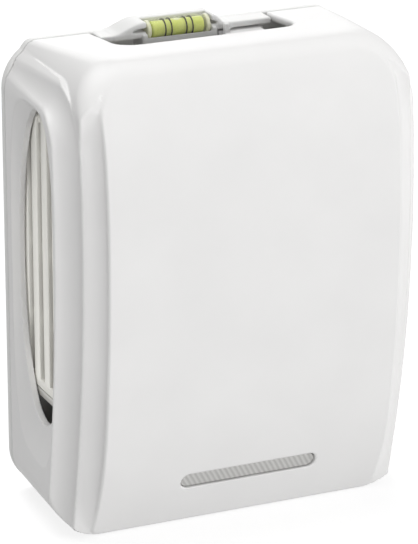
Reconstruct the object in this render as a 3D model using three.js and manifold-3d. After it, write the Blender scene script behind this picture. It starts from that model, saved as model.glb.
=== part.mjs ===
// A palm-size wall dispenser driven by an electrochemical oxygen cell, in millimetres.
// +Z is up, the front faces -Y and the flat back lies against a wall at +Y. The origin is the
// middle of the outer box at its base. The cover hinges at the bottom, a spring latch holds its
// top, and the cartridge inside lifts off two hooks.
import * as THREE from 'three';
import { mergeVertices } from 'three/addons/utils/BufferGeometryUtils.js';
import Module from 'manifold-3d';

const wasm = await Module();
wasm.setup();

// Driving dimensions of the case
const height = 140;
const width = 111;
const depth = 57.5;
const padStep = 5.5;
const bodyStep = 5.5;
const rearTaper = 2.1;
const plateThickness = 2.6;
const wall = 2.2;
const topDrop = 3.6;
const bowLift = 18;
const bowReach = 80;
const lowerBow = 8;
const upperBow = 14;
const lowerRoll = 6.8;
const lowerRollLength = 40;
const upperRoll = 6.2;
const upperRollLength = 28;
const bodyBow = 9.4;
const bodyRoll = 4.2;
const panelProud = 5.2;

// Clearances
const seam = 0.4;
const fit = 0.3;
const slip = 0.5;

// Openings in the cover
const ventHalfDepth = 18.5;
const ventTopMargin = 16.5;
const ventBottomMargin = 28.5;
const mouthTopMargin = 15.5;
const mouthBottomMargin = 10.5;
const notchHalf = 27.2;
const notchDepth = 23;
const slotLength = 42.2;
const slotHeight = 4.8;
const slotZ = 15.2;
const slotX = 1.5;

// Hinge, latch and hooks
const hingeRadius = 3.5;
const pinRadius = 1.3;
const earHalf = 33;
const earWidth = 6;
const latchTravel = 2.5;
const hookSpacing = 68;
const liftTravel = 2.5;

// Level vial
const vialRadius = 2.8;
const vialBore = 2.1;
const vialLength = 19.4;
const vialX = -2.3;

// Cartridge
const barWidth = 4.2;
const barThickness = 2.6;
const barPitch = 7.5;
const barTip = 3;
const ribShares = [0.25, 0.512, 0.845];
const cageBottom = 37;
const cageHeadroom = 21;
const shelfThickness = 2;
const trayHalf = 38;
const trayGap = 1;
const trayWall = 1.6;
const reservoirHalf = 24;
const reservoirHeadroom = 15;
const cellRadius = 9.5;
const cellHeight = 8;
const batteryRadius = 7.6;
const batteryLength = 27;
const boardThickness = 1.2;
const sliderTravel = 5;

// Values worked out from the sizes above
const rearY = depth / 2;
const plateFrontY = rearY - plateThickness;
const coverRearY = plateFrontY - seam;
const panelFrontY = -depth / 2;
const bodyFrontY = panelFrontY + panelProud;
const hingeY = coverRearY - hingeRadius;
const hingeZ = hingeRadius;
const middleZ = height / 2;
const rearTopZ = height - topDrop;
const padFrontY = bodyFrontY + 2.2;
const padHalf = width / 2;
const bodyHalf = padHalf - padStep;
const panelHalf = bodyHalf - bodyStep;
const rearHalf = padHalf - rearTaper;
const ventHalfHeight = (height - ventTopMargin - ventBottomMargin) / 2;
const ventCentreZ = ventBottomMargin + ventHalfHeight;
const ventCentreY = coverRearY - 2.6 - ventHalfDepth;
const chamberHalf = padHalf - padStep - 0.4;
const chamberFrontY = padFrontY + 8.4;
const chamberBottom = 13;
const cageTop = height - cageHeadroom;
const reservoirTop = cageTop - reservoirHeadroom;
const trayBottom = 2 * hingeRadius + trayGap;
const notchFrontY = coverRearY - notchDepth;

const arcSteps = 6;

// Shapes ---------------------------------------------------------------------------------------

function toSolid(geometry) {
  const bare = new THREE.BufferGeometry();
  bare.setAttribute('position', geometry.getAttribute('position').clone());
  if (geometry.index) {
    bare.setIndex(geometry.index.clone());
  }
  const merged = mergeVertices(bare, 1e-4);
  const mesh = new wasm.Mesh({
    numProp: 3,
    vertProperties: new Float32Array(merged.attributes.position.array),
    triVerts: new Uint32Array(merged.index.array),
  });
  return new wasm.Manifold(mesh);
}

function toGeometry(solid) {
  const mesh = solid.getMesh();
  const geometry = new THREE.BufferGeometry();
  geometry.setAttribute('position', new THREE.BufferAttribute(mesh.vertProperties, 3));
  geometry.setIndex(new THREE.BufferAttribute(mesh.triVerts, 1));
  geometry.computeVertexNormals();
  return geometry;
}

function box(x, y, z) {
  const geometry = new THREE.BoxGeometry(x[1] - x[0], y[1] - y[0], z[1] - z[0]);
  geometry.translate((x[0] + x[1]) / 2, (y[0] + y[1]) / 2, (z[0] + z[1]) / 2);
  return toSolid(geometry);
}

function extrude(points, length) {
  const shape = new THREE.Shape(points.map(([a, b]) => new THREE.Vector2(a, b)));
  return new THREE.ExtrudeGeometry(shape, { depth: length, bevelEnabled: false });
}

// A prism whose outline is given as [x, y] pairs and which stands from z[0] to z[1]
function prismXY(points, z) {
  const geometry = extrude(points, z[1] - z[0]);
  geometry.translate(0, 0, z[0]);
  return toSolid(geometry);
}

// A prism whose outline is given as [x, z] pairs and which runs from y[0] to y[1]
function prismXZ(points, y) {
  const geometry = extrude(points, y[1] - y[0]);
  geometry.rotateX(Math.PI / 2);
  geometry.translate(0, y[1], 0);
  return toSolid(geometry);
}

// A prism whose outline is given as [y, z] pairs and which runs from x[0] to x[1]
function prismYZ(points, x) {
  const geometry = extrude(points, x[1] - x[0]);
  geometry.rotateX(Math.PI / 2);
  geometry.rotateZ(Math.PI / 2);
  geometry.translate(x[0], 0, 0);
  return toSolid(geometry);
}

function cylinderZ(radius, z, x = 0, y = 0, sides = 32, topRadius = radius) {
  const geometry = new THREE.CylinderGeometry(topRadius, radius, z[1] - z[0], sides);
  geometry.rotateX(Math.PI / 2);
  geometry.translate(x, y, (z[0] + z[1]) / 2);
  return toSolid(geometry);
}

function cylinderX(radius, x, y, z, sides = 24) {
  const geometry = new THREE.CylinderGeometry(radius, radius, x[1] - x[0], sides);
  geometry.rotateZ(Math.PI / 2);
  geometry.translate((x[0] + x[1]) / 2, y, z);
  return toSolid(geometry);
}

function cylinderY(radius, y, x, z, sides = 24) {
  const geometry = new THREE.CylinderGeometry(radius, radius, y[1] - y[0], sides);
  geometry.translate(x, (y[0] + y[1]) / 2, z);
  return toSolid(geometry);
}

function arc(centre, radius, from, to, steps = arcSteps) {
  const points = [];
  for (let i = 0; i <= steps; i += 1) {
    const angle = from + ((to - from) * i) / steps;
    points.push([centre[0] + radius * Math.cos(angle), centre[1] + radius * Math.sin(angle)]);
  }
  return points;
}

// A rectangle with rounded corners, anticlockwise, as pairs
function roundedRectangle(a, b, lowRadius, highRadius = lowRadius) {
  const quarter = Math.PI / 2;
  return [
    ...arc([a[1] - lowRadius, b[0] + lowRadius], lowRadius, -quarter, 0),
    ...arc([a[1] - highRadius, b[1] - highRadius], highRadius, 0, quarter),
    ...arc([a[0] + highRadius, b[1] - highRadius], highRadius, quarter, 2 * quarter),
    ...arc([a[0] + lowRadius, b[0] + lowRadius], lowRadius, 2 * quarter, 3 * quarter),
  ];
}

function superellipse(centre, halves, power, steps = 40) {
  const points = [];
  for (let i = 0; i < steps; i += 1) {
    const angle = (2 * Math.PI * i) / steps;
    const c = Math.cos(angle);
    const s = Math.sin(angle);
    points.push([
      centre[0] + halves[0] * Math.sign(c) * Math.abs(c) ** (2 / power),
      centre[1] + halves[1] * Math.sign(s) * Math.abs(s) ** (2 / power),
    ]);
  }
  return points;
}

// A solid through rings of 3-D points, which all have the same count and turn the same way
function loft(rings) {
  const count = rings[0].length;
  const positions = rings.flat(2);
  const index = [];
  for (let r = 0; r + 1 < rings.length; r += 1) {
    for (let i = 0; i < count; i += 1) {
      const a = r * count + i;
      const b = r * count + ((i + 1) % count);
      index.push(a, b, b + count, a, b + count, a + count);
    }
  }
  const last = (rings.length - 1) * count;
  for (let i = 1; i + 1 < count; i += 1) {
    index.push(0, i + 1, i);
    index.push(last, last + i, last + i + 1);
  }
  const geometry = new THREE.BufferGeometry();
  geometry.setAttribute('position', new THREE.Float32BufferAttribute(positions, 3));
  geometry.setIndex(index);
  const solid = toSolid(geometry);
  if (solid.volume() > 0) {
    return solid;
  }
  geometry.setIndex(index.reverse());
  return toSolid(geometry);
}

function mirrored(solid) {
  return solid.mirror([1, 0, 0]);
}

// A ring or tube about Z: the profile is a closed loop of [radius, z] pairs, upwards outside
function turned(profile, sides = 32) {
  const closed = [...profile, profile[0]].map(([r, z]) => new THREE.Vector2(r, z));
  const geometry = new THREE.LatheGeometry(closed, sides);
  geometry.rotateX(Math.PI / 2);
  return toSolid(geometry);
}

// The case's outer shape -------------------------------------------------------------------------

// How far an end has rolled back, from 0 where the roll starts to 1 at the end
function endRise(into, length) {
  return (Math.max(0, into) / length) ** 2.5;
}

// The front panel's y at height z: bowed from end to end, with a tighter roll at each end
function panelY(z, inset = 0) {
  const t = (z - middleZ - bowLift) / bowReach;
  const bow = (t < 0 ? lowerBow : upperBow) * t * t;
  const low = lowerRoll * endRise(lowerRollLength - z, lowerRollLength);
  const high = upperRoll * endRise(z - height + upperRollLength, upperRollLength);
  return panelFrontY + inset + bow + low + high;
}

// The y of the shoulder on both sides of the panel
function bodyY(z, inset = 0) {
  const t = (z - middleZ - bowLift) / bowReach;
  const high = bodyRoll * endRise(z - height + upperRollLength, upperRollLength);
  return bodyFrontY + inset + bodyBow * t * t + high;
}

function heights(low, high) {
  const ends = [0, 2, 4.5, 8, 12, 16];
  const middle = [0.16, 0.33, 0.5, 2 / 3, 0.83];
  const levels = [
    ...ends.map((step) => low + step),
    ...middle.map((part) => low + 16 + part * (high - low - 32)),
    ...ends.map((step) => high - step).reverse(),
  ];
  return levels;
}

// Side view of the case from its front surface back to y, with the sloped top
function sideProfile(front, y, inset = 0) {
  const low = inset;
  const high = height - inset;
  const levels = heights(low, high);
  const frontCurve = levels.map((z) => [front(z, inset), z]).reverse();
  return [...frontCurve, [y, low], [y, rearTopZ - inset]];
}

// The same profile with its lower rear corner rounded about the hinge axis
function hingedProfile(front) {
  const frontCurve = heights(0, height).map((z) => [front(z), z]).reverse();
  const corner = arc([hingeY, hingeZ], hingeRadius, -Math.PI / 2, 0);
  return [...frontCurve, ...corner, [coverRearY, rearTopZ]];
}

function section(y, half, low, high, lowRadius, highRadius) {
  return roundedRectangle([-half, half], [low, high], lowRadius, highRadius)
    .map(([x, z]) => [x, y, z])
    .reverse();
}

// The fuller sides that carry the vents, growing out of the body behind a step
function padBody(rear) {
  return loft([
    section(rear, rearHalf, 0.3, rearTopZ, 13, 14),
    section(padFrontY + 4.9, padHalf, 0.5, rearTopZ, 13.5, 14),
    section(padFrontY + 1.9, padHalf - 3.3, 5, height - 7.5, 14, 14),
    section(padFrontY, bodyHalf - 1, 12, height - 14, 8, 8),
  ]);
}

function bodyOutline(inset = 0) {
  return roundedRectangle(
    [-bodyHalf + inset, bodyHalf - inset],
    [inset, height - inset],
    8 - inset,
    14 - inset,
  );
}

function coverShell() {
  const panelOutline = roundedRectangle([-panelHalf, panelHalf], [0, height], 2.5, 10);
  const panel = prismXZ(panelOutline, [panelFrontY - 1, 0])
    .intersect(prismYZ(hingedProfile(panelY), [-panelHalf - 1, panelHalf + 1]));
  const body = prismXZ(bodyOutline(), [bodyFrontY - 1, coverRearY])
    .add(padBody(coverRearY))
    .intersect(prismYZ(hingedProfile(bodyY), [-padHalf - 1, padHalf + 1]));
  const panelRoom = prismXZ(
    roundedRectangle([-panelHalf + wall, panelHalf - wall], [wall, height - wall], 1, 7.8),
    [panelFrontY - 1, 0],
  ).intersect(prismYZ(sideProfile(panelY, 1, wall), [-panelHalf, panelHalf]));
  const bodyRoom = prismXZ(bodyOutline(wall), [bodyFrontY - 1, rearY])
    .intersect(prismYZ(sideProfile(bodyY, rearY, wall), [-bodyHalf, bodyHalf]));
  const chamber = prismXZ(
    roundedRectangle([-chamberHalf, chamberHalf], [chamberBottom, height - 6], 8, 14),
    [chamberFrontY, rearY],
  );
  return panel.add(body).subtract(panelRoom).subtract(bodyRoom).subtract(chamber);
}

// Cover ------------------------------------------------------------------------------------------

const catchY = [notchFrontY + 3.25, notchFrontY + 5.25];
const catchBottom = height - wall - 4.6;

// One side's vent: a scoop from the outer surface down to an arched opening through the wall
function ventCut() {
  const steps = 48;
  const rimX = chamberHalf + 1.9;
  const mouthY = [padFrontY + 7, coverRearY - 1.9];
  const mouthZ = [mouthBottomMargin, height - mouthTopMargin];
  const mouth = superellipse(
    [(mouthY[0] + mouthY[1]) / 2, (mouthZ[0] + mouthZ[1]) / 2],
    [(mouthY[1] - mouthY[0]) / 2, (mouthZ[1] - mouthZ[0]) / 2],
    6,
    steps,
  );
  const rim = superellipse([ventCentreY, ventCentreZ], [ventHalfDepth, ventHalfHeight], 2.3, steps);
  const at = (loop, x) => loop.map(([y, z]) => [x, y, z]);
  const scoop = loft([at(rim, rimX), at(mouth, padHalf + 1.2)]);
  const hole = loft([at(rim, chamberHalf - 3), at(rim, rimX + 0.1)]);
  return scoop.add(hole);
}

function slotOutline(grow) {
  const half = slotLength / 2 + grow;
  const tall = slotHeight / 2 + grow;
  return roundedRectangle([slotX - half, slotX + half], [slotZ - tall, slotZ + tall], tall - 0.01);
}

// A sheet that follows the front panel, between two depths behind its surface
function panelLayer(from, to) {
  const levels = [1, 3, 6, 9, 12, 15, 18, 22, 28];
  const outer = levels.map((z) => [panelY(z, from), z]).reverse();
  const inner = levels.map((z) => [panelY(z, to), z]);
  return prismYZ([...outer, ...inner], [-panelHalf, panelHalf]);
}

function knuckle(side) {
  const near = earHalf + earWidth / 2 + slip;
  const x = side > 0 ? [near, near + 7] : [-near - 7, -near];
  const barrel = cylinderX(hingeRadius, x, hingeY, hingeZ);
  const web = box(x, [hingeY - 6, hingeY], [0, wall + 0.5]);
  return barrel.add(web);
}

function earSlot(side) {
  const half = earWidth / 2 + slip;
  const x = [side * earHalf - half, side * earHalf + half];
  return box(x, [hingeY - hingeRadius - 1, rearY], [-1, hingeZ + hingeRadius + 1]);
}

function frontCover() {
  const notch = prismXY(
    roundedRectangle([-notchHalf, notchHalf], [notchFrontY, rearY + 12], 6),
    [rearTopZ - 8, height + 1],
  );
  const catchX = [notchHalf + 1.5, notchHalf + 5.5];
  const catchTab = box(catchX, catchY, [catchBottom, height - wall - 1.2]);
  let cover = coverShell().subtract(notch).subtract(ventCut()).subtract(mirrored(ventCut()));
  cover = cover.subtract(prismXZ(slotOutline(0), [panelFrontY, 0]));
  cover = cover.add(catchTab);
  for (const side of [-1, 1]) {
    const x = side * earHalf;
    cover = cover.add(knuckle(side)).subtract(earSlot(side));
    const reach = earWidth / 2 + 6;
    cover = cover.subtract(cylinderX(pinRadius + fit, [x - reach, x + reach], hingeY, hingeZ));
  }
  return cover;
}

function slotWindow() {
  const y = [panelFrontY, 0];
  const lens = prismXZ(slotOutline(-fit), y).intersect(panelLayer(0.9, wall + 1.4));
  const flange = prismXZ(slotOutline(2), y).intersect(panelLayer(wall + fit, wall + 1.4));
  return lens.add(flange);
}

function windowRetainer() {
  const frame = prismXZ(slotOutline(3), [panelFrontY, 0]);
  const hole = prismXZ(slotOutline(0.2), [panelFrontY - 1, 1]);
  return frame.subtract(hole).intersect(panelLayer(wall + 1.4 + fit, wall + 2.9));
}

// Back plate and level vial ------------------------------------------------------------------------

const vialY = plateFrontY - vialRadius - 0.9;
const vialZ = rearTopZ - 0.1;
const ledgeFrontY = vialY - vialRadius + 0.4;
const ledgeThickness = 1.8;

function hump() {
  const left = vialX - vialLength / 2;
  const right = vialX + vialLength / 2;
  const top = rearTopZ + vialRadius;
  const upper = [
    [right + 4.8, rearTopZ],
    [right + 2.6, top - 1.2],
    [right + 0.6, top],
    [left - 1.8, top],
    [left - 6, top - 1.1],
    [left - 12, rearTopZ],
  ];
  const lower = [
    [left - 12, rearTopZ - ledgeThickness],
    [right + 4.8, rearTopZ - ledgeThickness],
  ];
  return prismXZ([...upper, ...lower], [ledgeFrontY, rearY]);
}

function cradle() {
  const x = [vialX - vialLength / 2 - 1.8, vialX + vialLength / 2 + 1.8];
  const seat = [vialZ - vialRadius - 1.8, vialZ - 0.4];
  const block = box(x, [ledgeFrontY - 0.8, plateFrontY + 1], seat);
  const backing = box(x, [vialY, plateFrontY + 1], [vialZ - 1, rearTopZ]);
  return block.add(backing);
}

function vialPocket() {
  const x = [vialX - vialLength / 2 - fit, vialX + vialLength / 2 + fit];
  const round = cylinderX(vialRadius + fit, x, vialY, vialZ, 32);
  const above = box(x, [vialY - vialRadius - fit, vialY + vialRadius + fit], [vialZ, height + 1]);
  const front = box(x, [ledgeFrontY - 4, vialY], [vialZ - 1.1, height + 1]);
  return round.add(above).add(front);
}

// A wall-screw keyhole: a round entry with a narrower slot above it
function keyhole(x, z) {
  const y = [plateFrontY - 1, rearY + 1];
  const entry = cylinderY(4, y, x, z);
  const neck = box([x - 2, x + 2], y, [z, z + 8]);
  const end = cylinderY(2, y, x, z + 8, 16);
  return entry.add(neck).add(end);
}

function hinge(side) {
  const x = [side * earHalf - earWidth / 2, side * earHalf + earWidth / 2];
  const barrel = cylinderX(hingeRadius - fit, x, hingeY, hingeZ);
  const arm = box(x, [hingeY, plateFrontY + 1], [hingeZ - 1.8, hingeZ + hingeRadius - fit]);
  return barrel.add(arm);
}

// A hook that the cartridge's spine hangs on: a stem and an upturned lip
function cartridgeHook(x) {
  const stem = box([x - 3, x + 3], [hookLipY[0], plateFrontY + 1], [hookZ, hookZ + 3]);
  const lip = box([x - 3, x + 3], hookLipY, [hookZ, hookZ + 3 + liftTravel - 0.4]);
  return stem.add(lip);
}

function backPlate() {
  const swollen = roundedRectangle([-rearHalf, rearHalf], [0.3, rearTopZ], 13, 14);
  const outline = prismXZ(bodyOutline(), [plateFrontY, rearY])
    .add(prismXZ(swollen, [plateFrontY, rearY]));
  const under = box([-width, width], [plateFrontY - 1, rearY + 1], [-1, rearTopZ]);
  let plate = outline.intersect(under);
  const ledgeHalf = notchHalf - 0.7;
  const ledgeZ = [rearTopZ - ledgeThickness, rearTopZ];
  const ledge = box([-ledgeHalf, ledgeHalf], [ledgeFrontY, plateFrontY + 1], ledgeZ);
  plate = plate.add(ledge).add(hump()).add(cradle()).subtract(vialPocket());
  for (const side of [-1, 1]) {
    const rimX = side * (chamberHalf - 1.5);
    const rimZ = [chamberBottom + 9.5, shelfZ[0] - 1.2];
    plate = plate.add(hinge(side));
    plate = plate.add(cartridgeHook((side * hookSpacing) / 2));
    plate = plate.add(box([rimX - 1, rimX + 1], [coverRearY - 2.6, plateFrontY + 1], rimZ));
    const stop = side * earHalf;
    const bore = [stop - earWidth, stop + earWidth];
    plate = plate.subtract(cylinderX(pinRadius + fit, bore, hingeY, hingeZ));
  }
  plate = plate.add(latchGuide());
  for (const z of [middleZ - 30, middleZ + 38]) {
    plate = plate.subtract(keyhole(0, z));
  }
  return plate;
}

function hingePin(side) {
  const reach = earWidth / 2 + 5.4;
  return cylinderX(pinRadius, [side * earHalf - reach, side * earHalf + reach], hingeY, hingeZ);
}

function vialTube() {
  const x = [vialX - vialLength / 2 + 1.5, vialX + vialLength / 2 - 1.5];
  const bore = cylinderX(vialBore, [x[0] - 1, x[1] + 1], vialY, vialZ, 24);
  return cylinderX(vialRadius, x, vialY, vialZ, 32).subtract(bore);
}

function vialLiquid() {
  const x = [vialX - vialLength / 2 + 1.6, vialX + vialLength / 2 - 1.6];
  const pocket = cylinderX(1.5, [vialX - 2.4, vialX + 2.4], vialY, vialZ + vialBore, 20);
  return cylinderX(vialBore - 0.2, x, vialY, vialZ, 24).subtract(pocket);
}

function vialCap(side) {
  const outer = vialX + (side * vialLength) / 2;
  const inner = outer - side * 1.2;
  return cylinderX(vialRadius, [Math.min(outer, inner), Math.max(outer, inner)], vialY, vialZ, 32);
}

// Release latch ------------------------------------------------------------------------------------

const latchTopZ = rearTopZ - ledgeThickness - 0.6;
const latchX = [10, 24];

// Two walls and a floor under the ledge that guide the latch and seat its spring
function latchGuide() {
  const y = [ledgeFrontY - 0.4, plateFrontY + 1];
  const floorZ = latchTopZ - 12;
  const floor = box([latchX[0] - 2.4, latchX[1] + 2.4], y, [floorZ, floorZ + 1.6]);
  const left = box([latchX[0] - 2.4, latchX[0] - slip], y, [floorZ, rearTopZ - 1]);
  const right = box([latchX[1] + slip, latchX[1] + 2.4], y, [floorZ, latchTopZ - 5.6]);
  return floor.add(left).add(right);
}

// The pressed block, a finger post in front of the ledge and an arm to the cover's catch
function releaseLatch() {
  const y = [ledgeFrontY, plateFrontY - slip];
  const block = box(latchX, y, [latchTopZ - 3, latchTopZ]);
  const level = [latchTopZ - 3, latchTopZ];
  const finger = box([latchX[0] + 1, latchX[1] - 1], [ledgeFrontY - 5, ledgeFrontY], level);
  const postX = [latchX[0] + 1, latchX[0] + 2.6];
  const post = box(postX, [ledgeFrontY - 2, ledgeFrontY - 0.5], [latchTopZ - 1, latchTopZ + 2.6]);
  const armZ = [latchTopZ - 3, catchBottom - 0.6];
  const arm = box([latchX[1] - 1, notchHalf + 5.2], [ledgeFrontY - 5, ledgeFrontY - 2.4], armZ);
  const reach = box([notchHalf + 2, notchHalf + 5.2], [catchY[0] - 2, ledgeFrontY - 2.4], armZ);
  const pegZ = [latchTopZ - 5, latchTopZ - 2.5];
  const peg = cylinderZ(1.4, pegZ, (latchX[0] + latchX[1]) / 2, springY, 16);
  return block.add(finger).add(post).add(arm).add(reach).add(peg);
}

const springY = (ledgeFrontY + plateFrontY) / 2;

function coilSpring(radius, wire, turns, length) {
  const points = [];
  const steps = turns * 12;
  for (let i = 0; i <= steps; i += 1) {
    const angle = (2 * Math.PI * turns * i) / steps;
    const x = radius * Math.cos(angle);
    const y = radius * Math.sin(angle);
    points.push(new THREE.Vector3(x, y, (length * i) / steps));
  }
  return wireSolid(points, wire, steps);
}

function wireSolid(points, wire, steps) {
  const path = new THREE.CatmullRomCurve3(points);
  const shape = new THREE.Shape();
  shape.absarc(0, 0, wire, 0, 2 * Math.PI, false);
  const options = { steps, extrudePath: path, curveSegments: 3, bevelEnabled: false };
  return toSolid(new THREE.ExtrudeGeometry(shape, options));
}

// Cartridge ----------------------------------------------------------------------------------------

const cageHalf = chamberHalf - seam;
const lastBarY = coverRearY - 1.2 - barWidth / 2;
const barRoom = lastBarY - barWidth / 2 - chamberFrontY - seam;
const barCount = 1 + Math.floor(barRoom / barPitch);
const firstBarY = lastBarY - (barCount - 1) * barPitch;
const cageY = [firstBarY - barWidth / 2, lastBarY + barWidth / 2];
const cageInner = cageHalf - barThickness;
const spineY = [cageY[1] - 1.6, cageY[1]];
const hookLipY = [spineY[0] - fit - 2, spineY[0] - fit];
const hookZ = 60;
const shelfTop = cageBottom - fit;
const shelfZ = [shelfTop - shelfThickness, shelfTop];
const trayTop = shelfZ[0] - fit;
const trayY = [cageY[0] + 1, cageY[1] - 3];
const roomY = [trayY[0] + trayWall, trayY[1] - trayWall];
const cellX = 14;
const cellY = roomY[1] - cellRadius - fit;

// One side's upright bars with their rails and cross ribs. The bars' tips lean in over the cage's
// top, so the cover's corner swings past them.
function cageSide() {
  const barOutline = [
    [cageInner, cageBottom],
    [cageHalf, cageBottom],
    [cageHalf, cageTop - 1],
    [cageHalf - 2, cageTop + barTip],
    [cageInner, cageTop + barTip],
  ];
  const lowRail = box([cageInner, cageHalf], cageY, [cageBottom, cageBottom + 2.6]);
  const highRail = box([cageInner - 1, cageHalf - 1], cageY, [cageTop - 2.6, cageTop]);
  let side = lowRail.add(highRail);
  for (let i = 0; i < barCount; i += 1) {
    const y = firstBarY + i * barPitch;
    side = side.add(prismXZ(barOutline, [y - barWidth / 2, y + barWidth / 2]));
  }
  for (const share of ribShares) {
    const z = cageBottom + share * (cageTop - cageBottom);
    side = side.add(box([cageInner, cageInner + 1], cageY, [z - 0.6, z + 0.6]));
  }
  return side;
}

function cageTopPlate() {
  const half = cageInner - 1 - fit;
  const plate = box([-half, half], [cageY[0], spineY[0] - fit], [cageTop - 2.2, cageTop]);
  let solid = plate;
  for (const x of [-24, -8, 8, 24]) {
    const gap = box([x - 4, x + 4], [cageY[0] + 8, spineY[0] - 8], [cageTop - 4, cageTop + 1]);
    solid = solid.subtract(gap);
  }
  return solid;
}

function spine() {
  const half = cageInner - 1 - fit;
  let plate = box([-half, half], spineY, [cageBottom, cageTop]);
  for (const side of [-1, 1]) {
    const x = (side * hookSpacing) / 2;
    const slotZ = [hookZ - liftTravel - 1.5, hookZ + 3 + fit];
    const through = [spineY[0] - 1, spineY[1] + 1];
    plate = plate.subtract(box([x - 3 - slip, x + 3 + slip], through, slotZ));
  }
  return plate;
}

function shelf() {
  const plate = box([-cageHalf, cageHalf], cageY, shelfZ);
  return plate.subtract(cylinderZ(2.2, [shelfZ[0] - 1, shelfZ[1] + 1], cellX, cellY, 20));
}

function tray() {
  const outer = prismXY(roundedRectangle([-trayHalf, trayHalf], trayY, 4), [trayBottom, trayTop]);
  const room = prismXY(
    roundedRectangle([-trayHalf + trayWall, trayHalf - trayWall], roomY, 2.4),
    [trayBottom + trayWall, trayTop + 1],
  );
  const front = [trayY[0] - 1, roomY[0] + 1];
  const sliderSlot = box(
    [sliderX - 2 - slip, sliderX + 2 + sliderTravel + slip],
    front,
    [sliderZ - 1.5 - slip, sliderZ + 1.5 + slip],
  );
  const ledHole = cylinderY(2.4, front, slotX, slotZ + 3, 16);
  let solid = outer.subtract(room).subtract(sliderSlot).subtract(ledHole);
  for (const x of [-6, 0, 6]) {
    const floor = [trayBottom - 1, trayBottom + trayWall + 1];
    solid = solid.subtract(box([cellX + x - 1, cellX + x + 1], [cellY - 5, cellY + 5], floor));
  }
  return solid;
}

function reservoirOutline(inset) {
  const y = [cageY[0] + 3.4 + inset, spineY[0] - 1 - inset];
  return roundedRectangle([-reservoirHalf + inset, reservoirHalf - inset], y, 9 - inset);
}

const reservoirBottom = shelfTop + 3.4;
const reservoirWall = 1.6;
const spoutZ = [reservoirTop - 6, reservoirTop + 9];
const spoutY = (cageY[0] + spineY[0]) / 2 + 1;

function reservoirShell() {
  const outer = prismXY(reservoirOutline(0), [reservoirBottom, reservoirTop]);
  const innerZ = [reservoirBottom + reservoirWall, reservoirTop + 1];
  const inner = prismXY(reservoirOutline(reservoirWall), innerZ);
  const inlet = cylinderZ(2.1, [reservoirBottom - 1, reservoirBottom + 3], cellX, cellY, 20);
  return outer.subtract(inner).subtract(inlet);
}

function reservoirLid() {
  const plate = prismXY(reservoirOutline(0), [reservoirTop + fit, reservoirTop + fit + 2]);
  const plug = prismXY(reservoirOutline(reservoirWall + fit), [reservoirTop - 2, reservoirTop + fit + 1]);
  return plate.add(plug).subtract(cylinderZ(3.3, [reservoirTop - 3, reservoirTop + 4], 0, spoutY, 24));
}

function fluidBag() {
  const low = reservoirBottom + 6;
  const high = spoutZ[0] - fit;
  const levels = 8;
  const rings = [];
  for (let i = 0; i <= levels; i += 1) {
    const t = i / levels;
    const fullness = 0.35 + 0.65 * Math.sin(Math.PI * (0.08 + 0.84 * t)) ** 0.7;
    const half = (reservoirHalf - reservoirWall - 2) * (0.8 + 0.2 * fullness);
    const deep = ((spineY[0] - cageY[0]) / 2 - 6) * fullness;
    const z = low + t * (high - low);
    rings.push(superellipse([0, spoutY], [half, deep], 2.6, 24).map(([x, y]) => [x, y, z]));
  }
  return loft(rings);
}

function spout() {
  const tall = spoutZ[1] - spoutZ[0];
  const profile = [[1.2, 0], [5, 0], [5, 1.2], [3, 1.6], [3, tall], [1.2, tall]];
  return turned(profile, 24).translate([0, spoutY, spoutZ[0]]);
}

// A tube from the spout's side down to the wick on one side
function feedTube(side) {
  const z = spoutZ[1] - 2.2;
  const points = [
    new THREE.Vector3(side * 3.4, spoutY, z),
    new THREE.Vector3(side * 10, spoutY, z),
    new THREE.Vector3(side * 28, spoutY, z - 1),
    new THREE.Vector3(side * (wickX[0] - 2 * fit), spoutY, z - 5),
  ];
  return wireSolid(points, 1.4, 16);
}

const wickX = [cageInner - 5.6, cageInner - 1.6];

// A pleated evaporation pad behind one side's bars
function wick() {
  const pleats = 9;
  const y = [cageY[0] + 1, spineY[0] - 1];
  const pitch = (y[1] - y[0]) / (2 * pleats);
  const outer = [];
  for (let i = 0; i <= 2 * pleats; i += 1) {
    outer.push([wickX[1] - (i % 2) * 1.6, y[0] + i * pitch]);
  }
  return prismXY([...outer, [wickX[0], y[1]], [wickX[0], y[0]]], [cageBottom + 4, cageTop - 5]);
}

const cellZ = [trayTop - 1.4 - cellHeight, trayTop - 1.4];

function oxygenCell() {
  const can = [[0, 0], [cellRadius, 0], [cellRadius, cellHeight - 1.6], [cellRadius - 0.8, cellHeight - 1]];
  const crimp = [[cellRadius - 0.8, cellHeight], [0, cellHeight]];
  return turned([...can, ...crimp]).translate([cellX, cellY, cellZ[0]]);
}

function cellMembrane() {
  return cylinderZ(cellRadius - 1.5, [cellZ[0] - fit - 1, cellZ[0] - fit], cellX, cellY);
}

function gasNipple() {
  const low = cellZ[1] + fit;
  const tall = reservoirBottom + reservoirWall - low;
  const profile = [[0.8, 0], [3.6, 0], [3.6, 0.8], [1.7, 0.8], [1.7, tall], [0.8, tall]];
  return turned(profile, 20).translate([cellX, cellY, low]);
}

function cellSeal() {
  const low = shelfTop + fit;
  const tall = reservoirBottom - fit - low;
  const profile = [[2.1, 0], [4.2, 0], [4.6, tall / 2], [4.2, tall], [2.1, tall]];
  return turned(profile, 24).translate([cellX, cellY, low]);
}

const boardY = [roomY[0] + 3.8, roomY[0] + 3.8 + boardThickness];
const batteryY = boardY[1] + 0.6 + batteryRadius;
const batteryZ = trayBottom + trayWall + fit + batteryRadius;
const batteryX = [-trayHalf + trayWall + 3, -trayHalf + trayWall + 3 + batteryLength];
const sliderX = -20;
const sliderZ = 26;

function battery() {
  const can = cylinderX(batteryRadius, batteryX, batteryY, batteryZ, 32);
  return can.add(cylinderX(2.6, [batteryX[0], batteryX[1] + 0.8], batteryY, batteryZ, 20));
}

function contactPlate() {
  const x = [batteryX[1] + 1.1, batteryX[1] + 1.6];
  return box(x, [batteryY - 4, batteryY + 4], [trayBottom + trayWall + fit, batteryZ + 5]);
}

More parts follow.
